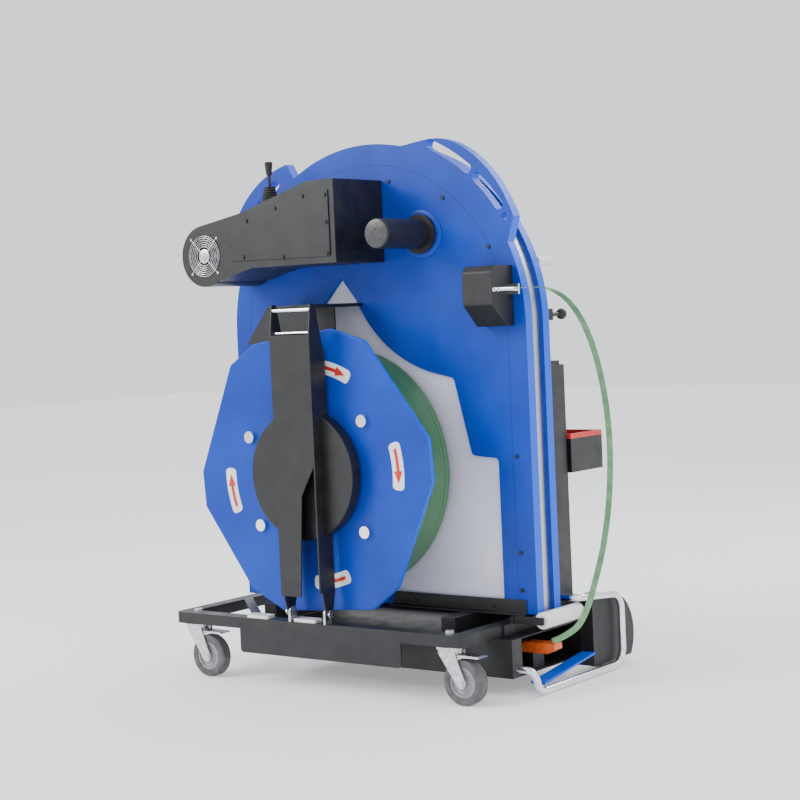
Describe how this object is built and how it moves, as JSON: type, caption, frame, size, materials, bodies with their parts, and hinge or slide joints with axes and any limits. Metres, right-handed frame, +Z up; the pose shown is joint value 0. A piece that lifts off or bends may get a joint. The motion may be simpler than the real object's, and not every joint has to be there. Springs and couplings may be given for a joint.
{
  "type": "semi automatic strapping machine",
  "caption": "Wheeled strapping machine with an arched blue chain guide, a vertical strap coil under a folding clamp arm, a control housing, a chain lance and a tool column.",
  "frame": {"origin": "on the floor, midway along the length and the depth of the machine", "axes": "+X along the base towards the lance outlet, +Y from the coil side towards the tool column, +Z up"},
  "size_m": [1.0275, 0.672, 1.337],
  "materials": {
    "black_steel": "fine textured black powder coat",
    "blue_panel": "satin blue sheet with milled edges",
    "white_sheet": "satin white sheet",
    "bright_steel": "brushed stainless band",
    "zinc": "bright zinc plate",
    "chrome_steel": "polished chrome",
    "black_plastic": "moulded black plastic",
    "boot_rubber": "soft black rubber",
    "green_strap": "embossed green polyester strap",
    "board": "wound board tube",
    "castor_rubber": "grey rubber",
    "grey_nylon": "moulded grey nylon",
    "white_nylon": "turned white nylon",
    "orange_plastic": "moulded orange plastic",
    "chain_plastic": "moulded dark red chain links",
    "red_trim": "red edge trim"
  },
  "bodies": {
    "base": {"arm_catch": "black_steel", "base_frame": "black_steel", "battery": "black_plastic", "bearing_block": "zinc", "bumper_loop": "chrome_steel", "castor_stems": "zinc", "catch_knob": "black_plastic", "chain_trough": "black_steel", "control_housing": "black_steel", "dome_screws": "zinc", "drive_motor": "black_plastic", "exit_pins": "chrome_steel", "fan_guard": "zinc", "fan_motor": "black_plastic", "front_cover_plate": "blue_panel", "front_guide_plate": "blue_panel", "hinge_brackets": "zinc", "housing_panel": "black_steel", "left_wheel_guard": "black_plastic", "outlet_ramp": "blue_panel", "rear_guide_plate": "blue_panel", "rest_bar": "white_nylon", "rest_pads": "white_sheet", "right_wheel_guard": "black_plastic", "steel_band": "bright_steel", "stick_boot": "boot_rubber", "stick_collar": "black_steel", "strap_box": "black_plastic", "strap_tail": "green_strap", "tool_column": "black_steel", "white_panel": "white_sheet"},
    "arm": {"clamp_arm": "black_steel", "grip_rods": "chrome_steel", "brake_disc": "black_steel"},
    "front_flange": {"front_flange": "blue_panel", "flange_boss": "black_plastic", "flange_bolts": "chrome_steel"},
    "coil": {"strap_coil": "green_strap", "coil_core": "board", "coil_drum": "black_plastic", "drum_shaft": "bright_steel"},
    "fan": {"fan_rotor": "black_plastic"},
    "stick_cross": {"stick_ball": "bright_steel"},
    "stick": {"stick_lever": "black_plastic"},
    "lance": {"lance_chain": "chain_plastic", "lance_head": "orange_plastic"},
    "outlet_roller": {"outlet_roller": "white_nylon"},
    "tool_lift": {"tool_carriage": "black_steel", "tool_tray": "black_steel", "tray_rim": "red_trim"},
    "left_rear_wheel": {"left_rear_wheel": "castor_rubber"},
    "right_rear_wheel": {"right_rear_wheel": "castor_rubber"},
    "left_castor": {"left_castor_fork": "zinc"},
    "left_castor_wheel": {"left_castor_hub": "grey_nylon", "left_castor_tyre": "castor_rubber"},
    "left_brake": {"left_castor_pedal": "zinc"},
    "right_castor": {"right_castor_fork": "zinc"},
    "right_castor_wheel": {"right_castor_hub": "grey_nylon", "right_castor_tyre": "castor_rubber"},
    "right_brake": {"right_castor_pedal": "zinc"}
  },
  "joints": [
    {"name": "arm_fold", "type": "hinge", "parent": "base", "child": "arm", "pos_m": [-0.0585, -0.305, 0.19], "axis": [1, 0, 0], "range_deg": [0, 90]},
    {"name": "flange_spin", "type": "hinge", "parent": "arm", "child": "front_flange", "pos_m": [-0.0645, -0.26, 0.527], "axis": [0, 1, 0], "continuous": true},
    {"name": "coil_spin", "type": "hinge", "parent": "base", "child": "coil", "pos_m": [-0.0645, -0.176, 0.527], "axis": [0, 1, 0], "continuous": true},
    {"name": "fan_spin", "type": "hinge", "parent": "base", "child": "fan", "pos_m": [-0.3745, -0.27, 1.08], "axis": [0, 1, 0], "continuous": true},
    {"name": "stick_cross", "type": "hinge", "parent": "base", "child": "stick_cross", "pos_m": [-0.236, -0.176, 1.214], "axis": [0, 1, 0], "range_deg": [-10, 10], "stiffness_Nm_per_rad": 1},
    {"name": "stick_tilt", "type": "hinge", "parent": "stick_cross", "child": "stick", "pos_m": [-0.236, -0.176, 1.214], "axis": [1, 0, 0], "range_deg": [-10, 10], "stiffness_Nm_per_rad": 1},
    {"name": "lance_feed", "type": "slide", "parent": "base", "child": "lance", "axis": [1, 0, 0], "range_m": [0, 0.3]},
    {"name": "outlet_roller_spin", "type": "hinge", "parent": "base", "child": "outlet_roller", "pos_m": [0.485, -0.02, 0.172], "axis": [0, 1, 0], "continuous": true},
    {"name": "tool_lift", "type": "slide", "parent": "base", "child": "tool_lift", "axis": [0, 0, 1], "range_m": [-0.16, 0.16]},
    {"name": "left_castor_swivel", "type": "hinge", "parent": "base", "child": "left_castor", "pos_m": [-0.4505, -0.288, 0.125], "axis": [0, 0, 1], "continuous": true},
    {"name": "left_castor_roll", "type": "hinge", "parent": "left_castor", "child": "left_castor_wheel", "pos_m": [-0.4105, -0.288, 0.054], "axis": [0, 1, 0], "continuous": true},
    {"name": "left_brake", "type": "hinge", "parent": "left_castor", "child": "left_brake", "pos_m": [-0.4325, -0.288, 0.1136], "axis": [0, 1, 0], "range_deg": [0, 6]},
    {"name": "right_castor_swivel", "type": "hinge", "parent": "base", "child": "right_castor", "pos_m": [0.3495, -0.288, 0.125], "axis": [0, 0, 1], "continuous": true},
    {"name": "right_castor_roll", "type": "hinge", "parent": "right_castor", "child": "right_castor_wheel", "pos_m": [0.3895, -0.288, 0.054], "axis": [0, 1, 0], "continuous": true},
    {"name": "right_brake", "type": "hinge", "parent": "right_castor", "child": "right_brake", "pos_m": [0.3675, -0.288, 0.1136], "axis": [0, 1, 0], "range_deg": [0, 6]},
    {"name": "left_rear_roll", "type": "hinge", "parent": "base", "child": "left_rear_wheel", "pos_m": [-0.4475, 0.226, 0.078], "axis": [1, 0, 0], "continuous": true},
    {"name": "right_rear_roll", "type": "hinge", "parent": "base", "child": "right_rear_wheel", "pos_m": [0.4475, 0.226, 0.078], "axis": [1, 0, 0], "continuous": true}
  ]
}
